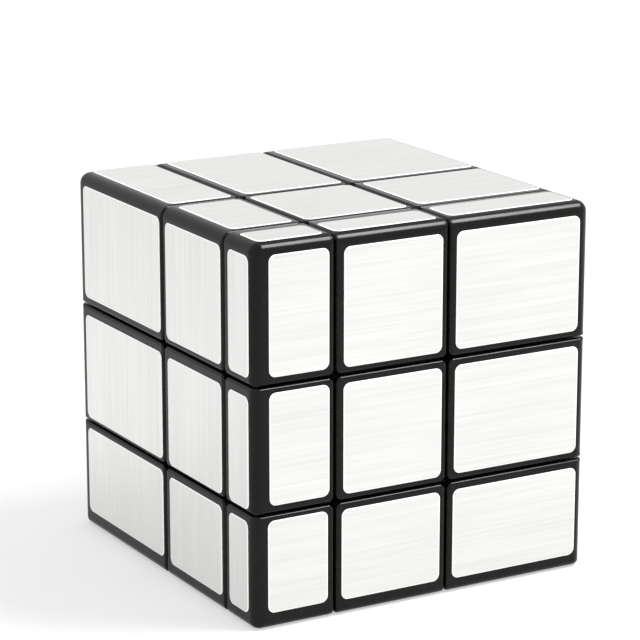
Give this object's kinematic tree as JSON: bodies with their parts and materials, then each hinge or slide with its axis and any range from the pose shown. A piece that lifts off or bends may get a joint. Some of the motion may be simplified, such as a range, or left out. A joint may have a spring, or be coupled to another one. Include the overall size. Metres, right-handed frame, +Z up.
{
  "type": "mirror block cube",
  "caption": "Twisty cube puzzle whose blocks all differ in size, black with brushed silver faces, on a sprung ball-and-arm core; top and bottom layers turn.",
  "frame": {"origin": "middle of the cube's square bottom, on the surface it rests on", "axes": "+Z up through the thicker-than-middle top layer, -Y out of the front face (whose layer is the thinnest), -X out of the left face"},
  "size_m": [0.057, 0.057, 0.057],
  "materials": {
    "shell_black": "satin",
    "body_black": "satin",
    "core_white": "satin",
    "zinc_plated_steel": "satin",
    "spring_steel": "satin"
  },
  "bodies": {
    "core": {"core": "core_white", "screw_left": "zinc_plated_steel", "screw_right": "zinc_plated_steel", "screw_front": "zinc_plated_steel", "screw_back": "zinc_plated_steel", "screw_bottom": "zinc_plated_steel", "screw_top": "zinc_plated_steel", "spring_left": "spring_steel", "spring_right": "spring_steel", "spring_front": "spring_steel", "spring_back": "spring_steel", "spring_bottom": "spring_steel", "spring_top": "spring_steel", "edge_front_left": "shell_black", "edge_front_right": "shell_black", "edge_back_left": "shell_black", "edge_back_right": "shell_black"},
    "top_layer": {"edge_top_front": "shell_black", "edge_top_back": "shell_black", "edge_top_left": "shell_black", "edge_top_right": "shell_black", "corner_shell_top_front_left": "shell_black", "corner_body_top_front_left": "body_black", "corner_shell_top_front_right": "shell_black", "corner_body_top_front_right": "body_black", "corner_shell_top_back_left": "shell_black", "corner_body_top_back_left": "body_black", "corner_shell_top_back_right": "shell_black", "corner_body_top_back_right": "body_black"},
    "bottom_layer": {"edge_bottom_front": "shell_black", "edge_bottom_back": "shell_black", "edge_bottom_left": "shell_black", "edge_bottom_right": "shell_black", "corner_shell_bottom_front_left": "shell_black", "corner_body_bottom_front_left": "body_black", "corner_shell_bottom_front_right": "shell_black", "corner_body_bottom_front_right": "body_black", "corner_shell_bottom_back_left": "shell_black", "corner_body_bottom_back_left": "body_black", "corner_shell_bottom_back_right": "shell_black", "corner_body_bottom_back_right": "body_black"},
    "left_centre": {"centre_base_left": "body_black", "centre_cap_left": "shell_black", "washer_left": "zinc_plated_steel"},
    "right_centre": {"centre_base_right": "body_black", "centre_cap_right": "shell_black", "washer_right": "zinc_plated_steel"},
    "front_centre": {"centre_base_front": "body_black", "centre_cap_front": "shell_black", "washer_front": "zinc_plated_steel"},
    "back_centre": {"centre_base_back": "body_black", "centre_cap_back": "shell_black", "washer_back": "zinc_plated_steel"},
    "bottom_centre": {"centre_base_bottom": "body_black", "centre_cap_bottom": "shell_black", "washer_bottom": "zinc_plated_steel"},
    "top_centre": {"centre_base_top": "body_black", "centre_cap_top": "shell_black", "washer_top": "zinc_plated_steel"}
  },
  "joints": [
    {"name": "top_layer_turn", "type": "hinge", "parent": "core", "child": "top_layer", "pos_m": [-0.0057, -0.01, 0.0267], "axis": [0, 0, 1], "continuous": true},
    {"name": "bottom_layer_turn", "type": "hinge", "parent": "core", "child": "bottom_layer", "pos_m": [-0.0057, -0.01, 0.0267], "axis": [0, 0, -1], "continuous": true},
    {"name": "left_centre_lift", "type": "slide", "parent": "core", "child": "left_centre", "axis": [-1, 0, 0], "range_m": [0, 0.0006], "stiffness_N_per_m": 300, "deforming": ["spring_left"]},
    {"name": "right_centre_lift", "type": "slide", "parent": "core", "child": "right_centre", "axis": [1, 0, 0], "range_m": [0, 0.0006], "stiffness_N_per_m": 300, "deforming": ["spring_right"]},
    {"name": "front_centre_lift", "type": "slide", "parent": "core", "child": "front_centre", "axis": [0, -1, 0], "range_m": [0, 0.0006], "stiffness_N_per_m": 300, "deforming": ["spring_front"]},
    {"name": "back_centre_lift", "type": "slide", "parent": "core", "child": "back_centre", "axis": [0, 1, 0], "range_m": [0, 0.0006], "stiffness_N_per_m": 300, "deforming": ["spring_back"]},
    {"name": "bottom_centre_lift", "type": "slide", "parent": "bottom_layer", "child": "bottom_centre", "axis": [0, 0, -1], "range_m": [0, 0.0006], "stiffness_N_per_m": 300, "deforming": ["spring_bottom"]},
    {"name": "top_centre_lift", "type": "slide", "parent": "top_layer", "child": "top_centre", "axis": [0, 0, 1], "range_m": [0, 0.0006], "stiffness_N_per_m": 300, "deforming": ["spring_top"]}
  ]
}
